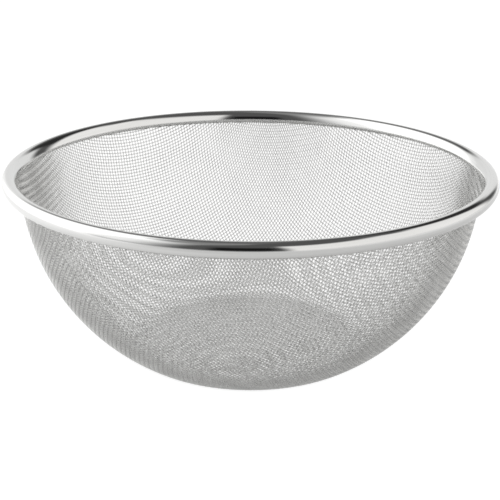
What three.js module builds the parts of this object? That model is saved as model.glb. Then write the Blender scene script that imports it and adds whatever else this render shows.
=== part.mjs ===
// Wire-cloth strainer bowl: a bowl drawn from woven wire cloth, with a rolled strip rim.
//
// Millimetres, +Z up. The bowl's axis is Z, and the origin is the centre of the underside of its
// flat base, on the surface that it stands on. Every piece is a body of revolution, so each one
// is made from its section in the (radius, height) plane.

import * as THREE from 'three';

// Driving dimensions
const RIM_OUTER_RADIUS = 120;
const OVERALL_HEIGHT = 95;
const BEAD_RADIUS = 3.6;
const STRIP_THICKNESS = 0.4;
const CLOTH_THICKNESS = 0.8;
const CORE_WIRE_RADIUS = 1.6;
const CORE_CLEARANCE = 0.3;
const BASE_FLAT_RADIUS = 54;
const CORNER_RADIUS = 18;
const WALL_RADIUS = 105.5;
const NECK_DROP = 16;
const NECK_TENSION = 5;
const INNER_FACE_RADIUS = 8;
const CURL_RADIUS = 1.6;

// Angles round the bead's section, in degrees from the outward radius, turning upwards
const CLOTH_ENTRY_ANGLE = 180;
const HEM_END_ANGLE = -30;
const LOWER_LIP_ANGLE = -112.5;
const INNER_FACE_START_ANGLE = 135;
const CURL_START_ANGLE = 160;
const CURL_END_ANGLE = 235;

// Facets
const TURN_FACETS = 72;
const CORNER_FACETS = 4;
const WALL_FACETS = 8;
const NECK_FACETS = 4;
const HEM_FACETS = 7;
const BEAD_FACETS = 11;
const INNER_FACE_FACETS = 2;
const CURL_FACETS = 3;
const CORE_FACETS = 10;

const radians = THREE.MathUtils.degToRad;
const beadCentre = new THREE.Vector2(RIM_OUTER_RADIUS - BEAD_RADIUS, OVERALL_HEIGHT - BEAD_RADIUS);

function steelFinish(name, color, roughness) {
  return new THREE.MeshStandardMaterial({ name, color, roughness, metalness: 1 });
}

// A point and its direction of travel on a circle of the section plane. turn is +1 for a path
// that goes anticlockwise and -1 for a clockwise one.
function onCircle(centre, radius, angle, turn) {
  const outward = new THREE.Vector2(Math.cos(angle), Math.sin(angle));
  return {
    point: centre.clone().addScaledVector(outward, radius),
    along: new THREE.Vector2(-outward.y, outward.x).multiplyScalar(turn),
  };
}

function arcPath(centre, radius, startAngle, endAngle, facets) {
  const turn = Math.sign(endAngle - startAngle);
  const steps = Array.from({ length: facets + 1 }, (_, i) => i / facets);
  return steps.map((t) => onCircle(centre, radius, startAngle + (endAngle - startAngle) * t, turn));
}

// The middle surface of the cloth, from the axis out to the hem that is turned over the core
// wire. The wall's arc is centred at the height of the bead, so the wall is upright at the rim.
function clothPath() {
  const floorHeight = CLOTH_THICKNESS / 2;
  const cornerCentre = new THREE.Vector2(BASE_FLAT_RADIUS, floorHeight + CORNER_RADIUS);
  const cornerTurn = Math.acos(
    (beadCentre.y - cornerCentre.y) / (WALL_RADIUS - CORNER_RADIUS),
  );
  const cornerEnd = onCircle(cornerCentre, CORNER_RADIUS, cornerTurn - Math.PI / 2, 1).point;
  const wallCentre = new THREE.Vector2(
    cornerEnd.x - WALL_RADIUS * Math.sin(cornerTurn),
    beadCentre.y,
  );
  const neckStartAngle = -Math.asin(NECK_DROP / WALL_RADIUS);

  const base = { point: new THREE.Vector2(0, floorHeight), along: new THREE.Vector2(1, 0) };
  const corner = arcPath(
    cornerCentre, CORNER_RADIUS, -Math.PI / 2, cornerTurn - Math.PI / 2, CORNER_FACETS,
  );
  const wall = arcPath(
    wallCentre, WALL_RADIUS, cornerTurn - Math.PI / 2, neckStartAngle, WALL_FACETS,
  );
  const hemRadius = CORE_WIRE_RADIUS + CORE_CLEARANCE + CLOTH_THICKNESS / 2;
  const hem = arcPath(
    beadCentre, hemRadius, radians(CLOTH_ENTRY_ANGLE), radians(HEM_END_ANGLE), HEM_FACETS,
  );
  const neck = neckPath(wall.at(-1), hem[0]);
  return [base, ...corner, ...wall.slice(1), ...neck, ...hem];
}

// The smooth double bend that leads the wall outwards into the bead.
function neckPath(wallEnd, hemStart) {
  const curve = new THREE.CubicBezierCurve(
    wallEnd.point,
    wallEnd.point.clone().addScaledVector(wallEnd.along, NECK_TENSION),
    hemStart.point.clone().addScaledVector(hemStart.along, -NECK_TENSION),
    hemStart.point,
  );
  const inner = Array.from({ length: NECK_FACETS - 1 }, (_, i) => (i + 1) / NECK_FACETS);
  return inner.map((t) => ({ point: curve.getPoint(t), along: curve.getTangent(t) }));
}

// Both faces of a sheet of the given thickness about a path: out along its right-hand side and
// back along its left-hand side.
function sheetSection(path, thickness) {
  const side = (distance) => path.map(({ point, along }) => (
    new THREE.Vector2(point.x + along.y * distance, point.y - along.x * distance)
  ));
  return [...side(thickness / 2), ...side(-thickness / 2).reverse()];
}

// A body of revolution about Z from a section that runs anticlockwise in the (radius, height)
// plane.
function turned(name, section, material) {
  const geometry = new THREE.LatheGeometry(section, TURN_FACETS);
  geometry.rotateX(Math.PI / 2);
  const mesh = new THREE.Mesh(geometry, material);
  mesh.name = name;
  return mesh;
}

function closed(section) {
  return [...section, section[0].clone()];
}

// One sheet of wire cloth drawn into a bowl, with its edge turned over the core wire.
function meshBowl() {
  const cloth = steelFinish('wire_cloth', 0xb9b9b7, 0.3);
  return turned('mesh_bowl', sheetSection(clothPath(), CLOTH_THICKNESS), cloth);
}

// The polished strip, rolled into a bead that is round outside and flatter inside. Its inner edge
// curls back under, and leaves the slot that the cloth enters by on the bead's underside.
function rimBand() {
  const faceStart = radians(INNER_FACE_START_ANGLE);
  const curlStart = radians(CURL_START_ANGLE);
  const halfThickness = STRIP_THICKNESS / 2;
  const faceCentre = onCircle(beadCentre, BEAD_RADIUS - INNER_FACE_RADIUS, faceStart, 1).point;
  const curlCentre = onCircle(faceCentre, INNER_FACE_RADIUS - CURL_RADIUS, curlStart, 1).point;
  const round = arcPath(
    beadCentre, BEAD_RADIUS - halfThickness, radians(LOWER_LIP_ANGLE), faceStart, BEAD_FACETS,
  );
  const innerFace = arcPath(
    faceCentre, INNER_FACE_RADIUS - halfThickness, faceStart, curlStart, INNER_FACE_FACETS,
  );
  const curl = arcPath(
    curlCentre, CURL_RADIUS - halfThickness, curlStart, radians(CURL_END_ANGLE), CURL_FACETS,
  );
  const path = [...round, ...innerFace.slice(1), ...curl.slice(1)];
  const polished = steelFinish('polished_strip', 0xd8d8d6, 0.08);
  return turned('rim_band', closed(sheetSection(path, STRIP_THICKNESS)), polished);
}

// The round hoop inside the bead.
function rimCoreWire() {
  const circle = arcPath(beadCentre, CORE_WIRE_RADIUS, 0, 2 * Math.PI, CORE_FACETS);
  const section = circle.slice(0, -1).map(({ point }) => point);
  const drawnWire = steelFinish('core_wire', 0xa9a9a7, 0.35);
  return turned('rim_core_wire', closed(section), drawnWire);
}

const strainer = new THREE.Group();
strainer.add(meshBowl(), rimBand(), rimCoreWire());

export default strainer;
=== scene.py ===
"""Wire-cloth strainer bowl: real woven wires, a rolled polished rim, and a plain studio.

Metres, in the CAD frame: the bowl's axis is Z and its flat base stands on z = 0.
"""

import math

import bpy
import numpy as np
from mathutils import Matrix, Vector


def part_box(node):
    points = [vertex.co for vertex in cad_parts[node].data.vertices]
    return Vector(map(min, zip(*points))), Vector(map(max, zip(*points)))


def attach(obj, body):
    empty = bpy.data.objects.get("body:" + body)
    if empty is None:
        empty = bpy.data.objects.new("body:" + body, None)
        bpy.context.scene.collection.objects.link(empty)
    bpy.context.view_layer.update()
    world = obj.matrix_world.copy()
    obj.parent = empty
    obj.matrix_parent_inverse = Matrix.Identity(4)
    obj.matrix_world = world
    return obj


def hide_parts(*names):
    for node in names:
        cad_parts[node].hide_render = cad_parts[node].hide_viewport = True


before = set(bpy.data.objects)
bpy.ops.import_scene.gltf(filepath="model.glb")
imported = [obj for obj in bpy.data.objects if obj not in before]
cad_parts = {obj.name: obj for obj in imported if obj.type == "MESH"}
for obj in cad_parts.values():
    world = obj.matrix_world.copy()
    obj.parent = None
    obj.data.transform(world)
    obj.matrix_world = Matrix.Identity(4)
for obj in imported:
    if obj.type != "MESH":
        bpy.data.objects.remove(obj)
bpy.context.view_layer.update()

# The bowl's section, as in the CAD model, whose facets the fine pieces below follow
CLOTH_THICKNESS = 0.0008
BEAD_RADIUS = 0.0036
STRIP_THICKNESS = 0.0004
CORE_WIRE_RADIUS = 0.0016
CORE_CLEARANCE = 0.0003
BASE_FLAT_RADIUS = 0.054
CORNER_RADIUS = 0.018
WALL_RADIUS = 0.1055
NECK_DROP = 0.016
NECK_TENSION = 0.005
INNER_FACE_RADIUS = 0.008
CURL_RADIUS = 0.0016

# Angles round the bead's section, in degrees from the outward radius, turning upwards
CLOTH_ENTRY_ANGLE = 180
HEM_END_ANGLE = -30
LOWER_LIP_ANGLE = -112.5
INNER_FACE_START_ANGLE = 135
CURL_START_ANGLE = 160
CURL_END_ANGLE = 235

# The cloth: plain weave, with its two sets of wires along these pitches
WIRE_RADIUS = 0.0002
WARP_PITCH = 0.001829
WEFT_PITCH = 0.001776
WARP_AZIMUTH = 38.5
CRIMP_GAP = 0.000002

# Fineness of the sections, the net and the meshes
SECTION_STEP = 0.00005
NECK_POINTS = 300
NEWTON_STEPS = 20
STEPS_PER_PITCH = 4
WIRE_SIDES = 6
WIRE_MESH_SCALE = 1.03
TRIANGLES_PER_PIECE = 190000
RIM_TURN_STEPS = 384
STRIP_STEP = 0.0003
CURL_STEP = 0.00015
LIP_STEPS = 6
CORE_SECTION_STEPS = 24

# Wires at the cloth's edge that are shorter than these are left out
FEWEST_CROSSINGS = 3
FEWEST_POINTS = 5

# The bead fills the rim's outer upper corner
_, rim_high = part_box("rim_band")
bead_centre = np.array([rim_high.x - BEAD_RADIUS, rim_high.z - BEAD_RADIUS])


# ---- Sections: (radius, height) points of a profile ----

def arc(centre, radius, start, end, step=SECTION_STEP):
    """Points on an arc, with its angles in degrees."""
    length = abs(math.radians(end - start)) * radius
    angles = np.radians(np.linspace(start, end, max(2, round(length / step)) + 1))
    return centre + radius * np.column_stack([np.cos(angles), np.sin(angles)])


def bezier(start, start_handle, end_handle, end):
    """Points on a cubic curve."""
    t = np.linspace(0, 1, NECK_POINTS)[:, None]
    return (
        (1 - t) ** 3 * start
        + 3 * (1 - t) ** 2 * t * start_handle
        + 3 * (1 - t) * t ** 2 * end_handle
        + t ** 3 * end
    )


def direction(angle):
    """The unit vector at an angle in degrees."""
    return np.array([math.cos(math.radians(angle)), math.sin(math.radians(angle))])


def cloth_section():
    """The cloth's middle surface, from the axis to the hem turned over the core wire."""
    floor = CLOTH_THICKNESS / 2
    corner_centre = np.array([BASE_FLAT_RADIUS, floor + CORNER_RADIUS])
    rise = bead_centre[1] - corner_centre[1]
    corner_end_angle = math.degrees(math.acos(rise / (WALL_RADIUS - CORNER_RADIUS))) - 90
    corner = arc(corner_centre, CORNER_RADIUS, -90, corner_end_angle)
    wall_centre = corner_centre - (WALL_RADIUS - CORNER_RADIUS) * direction(corner_end_angle)
    neck_angle = -math.degrees(math.asin(NECK_DROP / WALL_RADIUS))
    wall = arc(wall_centre, WALL_RADIUS, corner_end_angle, neck_angle)
    hem_radius = CORE_WIRE_RADIUS + CORE_CLEARANCE + CLOTH_THICKNESS / 2
    hem = arc(bead_centre, hem_radius, CLOTH_ENTRY_ANGLE, HEM_END_ANGLE)
    neck = bezier(
        wall[-1],
        wall[-1] + NECK_TENSION * direction(neck_angle + 90),
        hem[0] - NECK_TENSION * direction(CLOTH_ENTRY_ANGLE - 90),
        hem[0],
    )
    base = np.linspace([0, floor], corner[0], round(BASE_FLAT_RADIUS / SECTION_STEP))
    return np.vstack([base, corner[1:], wall[1:], neck[1:], hem[1:]])


class ClothSurface:
    """A surface of revolution. A place on it is an azimuth and a distance s along the section."""

    def __init__(self, section):
        steps = np.hypot(*np.diff(section, axis=0).T)
        self.s = np.concatenate([[0], np.cumsum(steps)])
        self.radii, self.heights = section.T
        along = np.gradient(section, self.s, axis=0)
        self.along = along / np.hypot(*along.T)[:, None]
        self.edge = self.s[-1]

    def radius(self, s):
        """The radius at s. Past the edge it goes on at the edge's own slope."""
        past = np.maximum(s - self.edge, 0)
        return np.interp(s, self.s, self.radii) + past * self.along[-1, 0]

    def place(self, azimuth, s, height):
        """Points at a height above the middle surface, and the surface's normals there."""
        radius = np.interp(s, self.s, self.radii)
        z = np.interp(s, self.s, self.heights)
        along_r = np.interp(s, self.s, self.along[:, 0])
        along_z = np.interp(s, self.s, self.along[:, 1])
        around = np.column_stack([np.cos(azimuth), np.sin(azimuth)])
        normals = np.column_stack([around * along_z[:, None], -along_r])
        points = np.column_stack([around * radius[:, None], z])
        return points + normals * height[:, None], normals


# ---- The weave: a net of constant pitches laid over the bowl ----

def trellis(surface):
    """Azimuth and s of every crossing in one quarter of the bowl, [warp step, weft step].

    Cloth drawn into a bowl keeps its pitches and shears. So each crossing is one warp pitch from
    the crossing before it and one weft pitch from the one beside it, starting from the two
    straight wires that cross on the axis. Places past the cloth's edge are NaN.
    """
    reach = surface.edge + 2 * WARP_PITCH
    warp_count = int(reach / WARP_PITCH) + 1
    weft_count = int(reach / WEFT_PITCH) + 1
    x = np.arange(warp_count)[:, None] * WARP_PITCH + np.zeros((1, weft_count))
    y = np.arange(weft_count)[None, :] * WEFT_PITCH + np.zeros((warp_count, 1))
    s = np.hypot(x, y)
    azimuth = np.arctan2(y, x)
    # The flat base keeps its square net, and the two first wires stay straight
    marched = s > BASE_FLAT_RADIUS
    marched[0, :] = False
    marched[:, 0] = False
    for total in range(2, warp_count + weft_count - 1):
        i = np.arange(max(1, total - weft_count + 1), min(total, warp_count))
        j = total - i
        on_wall = marched[i, j]
        i, j = i[on_wall], j[on_wall]
        before = (azimuth[i - 1, j], s[i - 1, j])
        beside = (azimuth[i, j - 1], s[i, j - 1])
        a = before[0] + beside[0] - azimuth[i - 1, j - 1]
        d = before[1] + beside[1] - s[i - 1, j - 1]
        for _ in range(NEWTON_STEPS):
            a, d = closer_crossing(surface, a, d, before, beside)
        inside = d < reach
        azimuth[i, j] = np.where(inside, a, np.nan)
        s[i, j] = np.where(inside, d, np.nan)
    return azimuth, s


def closer_crossing(surface, a, d, before, beside):
    """One Newton step towards the place that is one pitch from both neighbours."""
    rows = []
    for (a0, d0), pitch in ((before, WARP_PITCH), (beside, WEFT_PITCH)):
        radius = surface.radius((d + d0) / 2)
        miss = (d - d0) ** 2 + (radius * (a - a0)) ** 2 - pitch ** 2
        rows.append((2 * radius ** 2 * (a - a0), 2 * (d - d0), miss))
    (aa, ad, miss_a), (ba, bd, miss_b) = rows
    det = aa * bd - ad * ba
    return a - (bd * miss_a - ad * miss_b) / det, d - (aa * miss_b - ba * miss_a) / det


def mirrored(half, sign):
    """A wire's whole line of values from its half that starts on the mirror plane."""
    return np.concatenate([sign * half[:0:-1], half])


def smooth_steps(points):
    """Catmull-Rom points through the given ones, STEPS_PER_PITCH to each span."""
    padded = np.vstack([2 * points[0] - points[1], points, 2 * points[-1] - points[-2]])
    p0, p1, p2, p3 = padded[:-3], padded[1:-2], padded[2:-1], padded[3:]
    spans = []
    for step in range(STEPS_PER_PITCH):
        t = step / STEPS_PER_PITCH
        spans.append(0.5 * (
            2 * p1 + (p2 - p0) * t + (2 * p0 - 5 * p1 + 4 * p2 - p3) * t ** 2
            + (3 * p1 - p0 - 3 * p2 + p3) * t ** 3
        ))
    return np.vstack([np.stack(spans, 1).reshape(-1, 2), points[-1:]])


def wire_line(surface, azimuth, s, order, side):
    """The middle line of one wire and the surface normals along it, or None past the edge.

    azimuth and s are its crossings from the mirror plane outwards. order is its number from the
    bowl's axis, which with side sets where it passes over and under.
    """
    count = int(np.argmax(np.isnan(s))) if np.isnan(s).any() else len(s)
    if count < FEWEST_CROSSINGS or s[0] >= surface.edge:
        return None
    # The map that keeps distances from the axis: smooth everywhere, and exact on the flat base
    half = s[:count, None] * np.column_stack([np.cos(azimuth[:count]), np.sin(azimuth[:count])])
    line = smooth_steps(np.column_stack([mirrored(half[:, 0], -1), mirrored(half[:, 1], 1)]))
    line, pitches = cut_at_edge(line, surface.edge)
    if len(line) < FEWEST_POINTS:
        return None
    crimp = side * (WIRE_RADIUS + CRIMP_GAP) * np.cos(np.pi * (pitches + order))
    return surface.place(np.arctan2(line[:, 1], line[:, 0]), np.hypot(*line.T), crimp)


def cut_at_edge(line, edge):
    """A wire's line stopped exactly at the cloth's edge, and its points' places in pitches."""
    middle = len(line) // 2
    pitches = np.arange(-middle, middle + 1) / STEPS_PER_PITCH
    distance = np.hypot(*line.T)
    past = np.flatnonzero(distance[middle:] > edge)
    if not len(past):
        return line, pitches
    kept = slice(middle - past[0], middle + past[0] + 1)
    line, pitches, distance = line[kept], pitches[kept], distance[kept]
    share = (edge - distance[-2]) / (distance[-1] - distance[-2])
    for values in (line, pitches):
        values[-1] = values[-2] + share * (values[-1] - values[-2])
        values[0] = values[1] + share * (values[0] - values[1])
    return line, pitches


def turned_line(line, mirror, azimuth):
    """A wire's line, mirrored where mirror is -1, and turned to the cloth's direction."""
    points, normals = line
    flip = np.array([1, mirror, 1])
    c, s = math.cos(math.radians(azimuth)), math.sin(math.radians(azimuth))
    turn = np.array([[c, s, 0], [-s, c, 0], [0, 0, 1]])
    return points * flip @ turn, normals * flip @ turn


# ---- Meshes ----

def tube(points, normals):
    """Rings of a round tube along a line, [ring, corner, xyz]."""
    along = np.gradient(points, axis=0)
    across = np.cross(normals, along)
    across /= np.linalg.norm(across, axis=1)[:, None]
    up = np.cross(along, across)
    up /= np.linalg.norm(up, axis=1)[:, None]
    angles = 2 * np.pi * np.arange(WIRE_SIDES) / WIRE_SIDES
    radius = WIRE_RADIUS * WIRE_MESH_SCALE
    return points[:, None] + radius * (
        np.cos(angles)[None, :, None] * across[:, None]
        + np.sin(angles)[None, :, None] * up[:, None]
    )


def tube_faces(rings, first):
    """Quads between rings and the two end caps, for vertices numbered from first."""
    corners = np.arange(WIRE_SIDES)
    start = first + np.arange(rings - 1)[:, None] * WIRE_SIDES
    here, beyond = start + corners, start + np.roll(corners, -1)
    quads = np.stack([here, beyond, beyond + WIRE_SIDES, here + WIRE_SIDES], 2).reshape(-1, 4)
    ends = np.stack([first + corners[::-1], first + (rings - 1) * WIRE_SIDES + corners])
    return quads, ends


def mesh_object(name, vertices, face_groups, material):
    """An object from arrays of faces, each array holding faces of one size."""
    mesh = bpy.data.meshes.new(name)
    loops = np.concatenate([faces.ravel() for faces in face_groups])
    sizes = np.concatenate([np.full(len(faces), faces.shape[1]) for faces in face_groups])
    starts = np.concatenate([[0], np.cumsum(sizes)[:-1]])
    mesh.vertices.add(len(vertices))
    mesh.vertices.foreach_set("co", vertices.astype(np.float32).ravel())
    mesh.loops.add(len(loops))
    mesh.loops.foreach_set("vertex_index", loops.astype(np.int32))
    mesh.polygons.add(len(sizes))
    mesh.polygons.foreach_set("loop_start", starts.astype(np.int32))
    mesh.update(calc_edges=True)
    mesh.validate()
    mesh.shade_smooth()
    mesh.materials.append(material)
    piece = bpy.data.objects.new(name, mesh)
    bpy.context.scene.collection.objects.link(piece)
    return piece


def finished(piece, node):
    """Puts a fine piece on its body in place of the CAD model's node."""
    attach(piece, "root")
    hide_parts(node)


def wire_bundle(name, lines, material):
    """One piece from neighbouring wires, each a closed tube."""
    vertices, quads, ends = [], [], []
    first = 0
    for line in lines:
        rings = tube(*line)
        body, caps = tube_faces(len(rings), first)
        vertices.append(rings.reshape(-1, 3))
        quads.append(body)
        ends.append(caps)
        first += rings.shape[0] * WIRE_SIDES
    faces = [np.concatenate(quads), np.concatenate(ends)]
    return mesh_object(name, np.concatenate(vertices), faces, material)


def bundles(lines):
    """Neighbouring wires in groups that each stay under TRIANGLES_PER_PIECE."""
    groups, room = [[]], TRIANGLES_PER_PIECE
    for line in lines:
        cost = 2 * WIRE_SIDES * len(line[0])
        if cost > room:
            groups.append([])
            room = TRIANGLES_PER_PIECE
        groups[-1].append(line)
        room -= cost
    return groups


def lathe(name, section, material):
    """A closed ring of revolution about Z from a closed anticlockwise section."""
    turns = 2 * np.pi * np.arange(RIM_TURN_STEPS) / RIM_TURN_STEPS
    count = len(section)
    x = np.cos(turns)[:, None] * section[:, 0]
    y = np.sin(turns)[:, None] * section[:, 0]
    z = np.zeros((RIM_TURN_STEPS, 1)) + section[:, 1]
    vertices = np.stack([x, y, z], 2).reshape(-1, 3)
    here = np.arange(RIM_TURN_STEPS)[:, None] * count + np.arange(count)
    beyond = np.roll(here, -1, 0)
    quads = np.stack([here, beyond, np.roll(beyond, -1, 1), np.roll(here, -1, 1)], 2)
    return mesh_object(name, vertices, [quads.reshape(-1, 4)], material)


# ---- Materials ----

class Nodes:
    """Short calls that add nodes to a node tree."""

    def __init__(self, tree):
        self.tree = tree
        tree.nodes.clear()

    def add(self, kind, values=None, **settings):
        node = self.tree.nodes.new(kind)
        for key, value in settings.items():
            setattr(node, key, value)
        for key, value in (values or {}).items():
            if isinstance(value, bpy.types.NodeSocket):
                self.tree.links.new(value, node.inputs[key])
            else:
                node.inputs[key].default_value = value
        return node

    def math(self, operation, *values):
        return self.add("ShaderNodeMath", dict(enumerate(values)), operation=operation).outputs[0]

    def map_range(self, value, low, high, to_low, to_high, smooth=False):
        return self.add(
            "ShaderNodeMapRange",
            {"Value": value, "From Min": low, "From Max": high,
             "To Min": to_low, "To Max": to_high},
            interpolation_type="SMOOTHSTEP" if smooth else "LINEAR",
        ).outputs["Result"]

    def mix_colours(self, share, first, second, **settings):
        """Two colours mixed. A Mix node takes them at inputs 6 and 7, and its result is output 2."""
        values = {0: share, 6: first, 7: second}
        return self.add("ShaderNodeMix", values, data_type="RGBA", **settings).outputs[2]

    def length(self, x, y):
        """The length of (x, y)."""
        squares = self.math("ADD", self.math("MULTIPLY", x, x), self.math("MULTIPLY", y, y))
        return self.math("SQRT", squares)

    def reach(self, x, y, heading):
        """How far (x, y) goes along a level direction."""
        return self.math(
            "ADD", self.math("MULTIPLY", x, heading[0]), self.math("MULTIPLY", y, heading[1]),
        )

    def axes(self, vector):
        """A vector's x, y and z."""
        return self.add("ShaderNodeSeparateXYZ", {0: vector}).outputs


def grey(value):
    """A neutral colour with its alpha."""
    return (value, value, value, 1)


# Nearly all of a noise texture's values are between these two
NOISE_LOW, NOISE_HIGH = 0.35, 0.65
TONE_DETAIL = 3.0
WEAR_DETAIL = 2.0

# The patches of wear are larger than the patches of tone
WEAR_SCALE_SHARE = 0.6

# Metres of change in the turned texture for each radian round the rim
TURNED_MARK_DRIFT = 0.002

# The scale of each metal's texture, and its ranges of colour and roughness
WIRE_FINISH = {
    "scale": 90, "darker": (0.62, 0.62, 0.61), "lighter": (0.71, 0.71, 0.70),
    "smoother": 0.17, "rougher": 0.25,
}
STRIP_FINISH = {
    "scale": 900, "darker": (0.76, 0.76, 0.75), "lighter": (0.80, 0.80, 0.79),
    "smoother": 0.05, "rougher": 0.09,
}
CORE_FINISH = {
    "scale": 1500, "darker": (0.50, 0.50, 0.49), "lighter": (0.60, 0.60, 0.59),
    "smoother": 0.28, "rougher": 0.42,
}


def metal(name):
    """A metal's node tree, with its Principled shader and the object's own coordinates."""
    material = bpy.data.materials.new(name)
    material.use_nodes = True
    nodes = Nodes(material.node_tree)
    shader = nodes.add("ShaderNodeBsdfPrincipled", {"Metallic": 1.0})
    nodes.add("ShaderNodeOutputMaterial", {"Surface": shader.outputs[0]})
    return material, nodes, shader, nodes.add("ShaderNodeTexCoord").outputs["Object"]


def mottled(nodes, shader, place, scale, darker, lighter, smoother, rougher):
    """Gives a metal tones and a roughness that drift from place to place."""
    tone = nodes.add(
        "ShaderNodeTexNoise", {"Vector": place, "Scale": scale, "Detail": TONE_DETAIL},
    )
    share = nodes.map_range(tone.outputs[0], NOISE_LOW, NOISE_HIGH, 0, 1)
    colour = nodes.mix_colours(share, (*darker, 1), (*lighter, 1))
    wear = nodes.add(
        "ShaderNodeTexNoise",
        {"Vector": place, "Scale": WEAR_SCALE_SHARE * scale, "Detail": WEAR_DETAIL},
    )
    roughness = nodes.map_range(wear.outputs[0], NOISE_LOW, NOISE_HIGH, smoother, rougher)
    nodes.tree.links.new(colour, shader.inputs["Base Color"])
    nodes.tree.links.new(roughness, shader.inputs["Roughness"])


def turned_place(nodes, place):
    """Coordinates that change across the rim and only slowly round it, as a lathe's marks do."""
    x, y, z = nodes.axes(place)
    drift = nodes.math("MULTIPLY", nodes.math("ARCTAN2", y, x), TURNED_MARK_DRIFT)
    values = {0: nodes.length(x, y), 1: z, 2: drift}
    return nodes.add("ShaderNodeCombineXYZ", values).outputs[0]


def wire_steel():
    """Bright drawn wire, slightly duller in places where it has been handled and washed."""
    material, nodes, shader, place = metal("wire_cloth")
    mottled(nodes, shader, place, **WIRE_FINISH)
    return material


def polished_steel():
    """Mirror-polished strip with faint marks of the polishing wheel along it."""
    material, nodes, shader, place = metal("polished_strip")
    mottled(nodes, shader, turned_place(nodes, place), **STRIP_FINISH)
    return material


def drawn_steel():
    """The plain drawn wire of the core, with lengthwise drawing marks."""
    material, nodes, shader, place = metal("core_wire")
    mottled(nodes, shader, turned_place(nodes, place), **CORE_FINISH)
    return material


# ---- The object ----

def woven_cloth(surface, material):
    """All the cloth's wires, in bundles of neighbours."""
    azimuth, s = trellis(surface)
    # Warp wires keep one weft step and run along the warp steps, and the other way round
    warp_halves = [wire_line(surface, azimuth[:, j], s[:, j], j, 1) for j in range(s.shape[1])]
    weft_halves = [
        wire_line(surface, np.pi / 2 - azimuth[i, :], s[i, :], i, -1) for i in range(s.shape[0])
    ]
    for name, halves, turn in (
        ("cloth_warp", warp_halves, WARP_AZIMUTH),
        ("cloth_weft", weft_halves, WARP_AZIMUTH - 90),
    ):
        found = [line for line in halves if line is not None]
        lines = [turned_line(line, -1, turn) for line in found[:0:-1]]
        lines += [turned_line(line, 1, turn) for line in found]
        for number, group in enumerate(bundles(lines), 1):
            finished(wire_bundle(f"{name}_{number}", group, material), "mesh_bowl")


def rim_band(material):
    """The strip's rolled section: round outside, flatter inside, and curled back under."""
    half = STRIP_THICKNESS / 2
    bend_1, bend_2 = direction(INNER_FACE_START_ANGLE), direction(CURL_START_ANGLE)
    face_centre = bead_centre + (BEAD_RADIUS - INNER_FACE_RADIUS) * bend_1
    curl_centre = face_centre + (INNER_FACE_RADIUS - CURL_RADIUS) * bend_2

    def side(offset):
        return np.vstack([
            arc(bead_centre, BEAD_RADIUS - half + offset, LOWER_LIP_ANGLE, INNER_FACE_START_ANGLE,
                STRIP_STEP),
            arc(face_centre, INNER_FACE_RADIUS - half + offset, INNER_FACE_START_ANGLE,
                CURL_START_ANGLE, STRIP_STEP)[1:],
            arc(curl_centre, CURL_RADIUS - half + offset, CURL_START_ANGLE, CURL_END_ANGLE,
                CURL_STEP)[1:],
        ])

    def lip(middle, angle):
        angles = angle + 180 * np.arange(1, LIP_STEPS) / LIP_STEPS
        return np.array([middle + half * direction(a) for a in angles])

    outside, inside = side(half), side(-half)
    inner_lip = lip((outside[-1] + inside[-1]) / 2, CURL_END_ANGLE)
    lower_lip = lip((outside[0] + inside[0]) / 2, LOWER_LIP_ANGLE + 180)
    section = np.vstack([outside, inner_lip, inside[::-1], lower_lip])
    finished(lathe("rim_strip", section, material), "rim_band")


def rim_core(material):
    """The round hoop inside the bead."""
    step = 2 * math.pi * CORE_WIRE_RADIUS / CORE_SECTION_STEPS
    circle = arc(bead_centre, CORE_WIRE_RADIUS, 0, 360, step)
    finished(lathe("rim_core", circle[:-1], material), "rim_core_wire")


# ---- The studio ----

# Soft boxes and dark panels by direction: middle azimuth, half width, lowest and highest
# elevation, softness of the sides and of the ends (all in degrees), and radiance. Later ones
# cover earlier ones.
PANELS = (
    ("horizon", 0, 181, -91, 3, 1, 6, (0.65, 0.65, 0.65)),
    ("top_left", 160, 75, 68, 91, 15, 6, (0.28, 0.28, 0.28)),
    ("back_wall", 100, 20, 32, 70, 8, 6, (0.14, 0.14, 0.14)),
    ("backdrop", 88, 32, -20, 25, 5, 4, (0.86, 0.86, 0.86)),
    ("left_spill", -160, 25, 6, 66, 18, 12, (1.1, 1.1, 1.1)),
    ("left_softbox", 158, 39, -6, 66, 8, 5, (1.5, 1.5, 1.5)),
    ("right_softbox", -27, 46, 0, 60, 4, 5, (0.98, 0.97, 0.96)),
    ("right_softbox_end", 17, 22, 0, 51, 6, 5, (1.02, 1.01, 1.0)),
    ("dark_front", -93, 15, 10, 46, 4, 5, (0.01, 0.01, 0.01)),
    ("dark_back", 57, 18, 24, 50, 4, 4, (0.03, 0.03, 0.03)),
)
ROOM_RADIANCE = 0.1
BACKGROUND_SEEN = 1.0

# Keeps the straight up and straight down directions from a division by zero
LEAST_LEVEL = 1e-5


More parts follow.
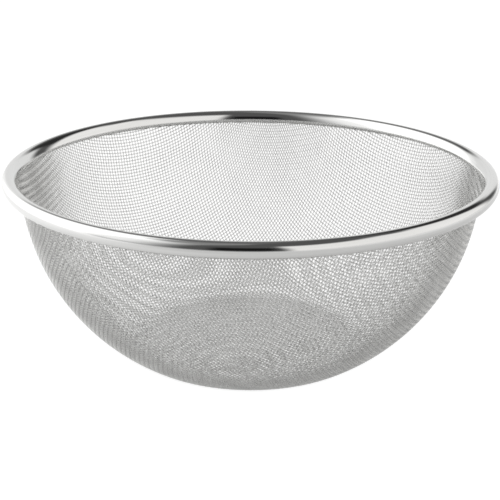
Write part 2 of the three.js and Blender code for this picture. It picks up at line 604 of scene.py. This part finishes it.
def studio_world():
    """The panels as the object sees them, and a plain white background as the camera does."""
    world = bpy.data.worlds.new("studio")
    bpy.context.scene.world = world
    world.use_nodes = True
    nodes = Nodes(world.node_tree)
    x, y, z = nodes.axes(nodes.add("ShaderNodeTexCoord").outputs["Generated"])
    elevation = nodes.math("DEGREES", nodes.math("ARCSINE", z))
    level = nodes.math("MAXIMUM", nodes.length(x, y), LEAST_LEVEL)
    light = grey(ROOM_RADIANCE)
    for name, azimuth, half_width, low, high, side_soft, end_soft, radiance in PANELS:
        towards = nodes.reach(x, y, direction(azimuth))
        off = nodes.math("DEGREES", nodes.math("ARCCOSINE", nodes.math("DIVIDE", towards, level)))
        share = nodes.map_range(off, half_width - side_soft, half_width + side_soft, 1, 0, True)
        above = nodes.map_range(elevation, low - end_soft, low + end_soft, 0, 1, True)
        below = nodes.map_range(elevation, high - end_soft, high + end_soft, 1, 0, True)
        share = nodes.math("MULTIPLY", share, nodes.math("MULTIPLY", above, below))
        light = nodes.mix_colours(share, light, (*radiance, 1), label=name)
    seen = nodes.add("ShaderNodeLightPath").outputs["Is Camera Ray"]
    colour = nodes.mix_colours(seen, light, grey(BACKGROUND_SEEN))
    background = nodes.add("ShaderNodeBackground", {"Color": colour})
    nodes.add("ShaderNodeOutputWorld", {"Surface": background.outputs[0]})


FLOOR_RADIUS = 4.0
FLOOR_SIDES = 96
FLOOR_DROP = 0.0002
FLOOR_ALBEDO = 0.35
FLOOR_GLOW_SEEN = 0.88

# The floor's glow rises along one direction, behind the bowl and to its left, from one distance
# to another, and again far to the right
FLOOR_BRIGHT_AZIMUTH = 137
FLOOR_BRIGHT_FROM, FLOOR_BRIGHT_TO = -0.2, 0.3
FLOOR_GLOW_LOW, FLOOR_GLOW_HIGH = 0.46, 0.88
FLOOR_RIGHT_FROM, FLOOR_RIGHT_TO = 0.2, 0.9
FLOOR_GLOW_MORE_RIGHT = 0.2

# The bowl's own shade on the floor's glow
SHADE_RADIUS = 0.24
SHADE_UNDER_BOWL = 0.65


def studio_floor():
    """A pale floor with a glow of its own: an even one to the camera, and a drifting one to the
    steel, which mirrors it.
    """
    mesh = bpy.data.meshes.new("floor")
    turns = 2 * np.pi * np.arange(FLOOR_SIDES) / FLOOR_SIDES
    rim = FLOOR_RADIUS * np.column_stack([np.cos(turns), np.sin(turns)])
    mesh.from_pydata([(x, y, -FLOOR_DROP) for x, y in rim], [], [list(range(len(rim)))])
    floor = bpy.data.objects.new("floor", mesh)
    bpy.context.scene.collection.objects.link(floor)
    material = bpy.data.materials.new("floor")
    material.use_nodes = True
    nodes = Nodes(material.node_tree)
    diffuse = nodes.add("ShaderNodeBsdfDiffuse", {"Color": grey(FLOOR_ALBEDO)})
    place = nodes.add("ShaderNodeTexCoord").outputs["Object"]
    x, y, _ = nodes.axes(place)
    along = nodes.reach(x, y, direction(FLOOR_BRIGHT_AZIMUTH))
    glow = nodes.math(
        "ADD",
        nodes.map_range(
            along, FLOOR_BRIGHT_FROM, FLOOR_BRIGHT_TO, FLOOR_GLOW_LOW, FLOOR_GLOW_HIGH, True,
        ),
        nodes.map_range(x, FLOOR_RIGHT_FROM, FLOOR_RIGHT_TO, 0, FLOOR_GLOW_MORE_RIGHT),
    )
    apart = nodes.add("ShaderNodeVectorMath", {0: place}, operation="LENGTH").outputs["Value"]
    shade = nodes.map_range(apart, 0, SHADE_RADIUS, SHADE_UNDER_BOWL, 1, True)
    glow = nodes.math("MULTIPLY", glow, shade)
    seen = nodes.add("ShaderNodeLightPath").outputs["Is Camera Ray"]
    # A Mix node keeps its plain values at inputs 2 and 3
    strength = nodes.add("ShaderNodeMix", {0: seen, 2: glow, 3: FLOOR_GLOW_SEEN}).outputs[0]
    emission = nodes.add("ShaderNodeEmission", {"Strength": strength})
    both = nodes.add("ShaderNodeAddShader", {0: diffuse.outputs[0], 1: emission.outputs[0]})
    nodes.add("ShaderNodeOutputMaterial", {"Surface": both.outputs[0]})
    mesh.materials.append(material)


# The camera, from the middle of the rim: its distance, its height above the level, how far its
# axis points down, and its small tilt to one side. The filter's width sets its sharpness.
CAMERA_DISTANCE = 0.512
CAMERA_ELEVATION = 15.65
CAMERA_PITCH = 20.12
CAMERA_ROLL = 0.3
CAMERA_LENS = 74.54
CAMERA_SENSOR = 36
FILTER_WIDTH = 1.85


def studio_camera():
    data = bpy.data.cameras.new("camera")
    data.lens = CAMERA_LENS
    data.sensor_width = CAMERA_SENSOR
    camera = bpy.data.objects.new("camera", data)
    bpy.context.scene.collection.objects.link(camera)
    elevation = math.radians(CAMERA_ELEVATION)
    place = Matrix.Translation((
        0,
        -CAMERA_DISTANCE * math.cos(elevation),
        bead_centre[1] + CAMERA_DISTANCE * math.sin(elevation),
    ))
    pitch = Matrix.Rotation(math.radians(90 - CAMERA_PITCH), 4, "X")
    roll = Matrix.Rotation(math.radians(CAMERA_ROLL), 4, "Z")
    camera.matrix_world = place @ pitch @ roll
    bpy.context.scene.camera = camera


def main():
    surface = ClothSurface(cloth_section())
    woven_cloth(surface, wire_steel())
    rim_band(polished_steel())
    rim_core(drawn_steel())
    studio_world()
    studio_floor()
    studio_camera()
    bpy.context.scene.view_settings.view_transform = "Standard"
    bpy.context.scene.cycles.use_denoising = True
    bpy.context.scene.cycles.filter_width = FILTER_WIDTH


main()
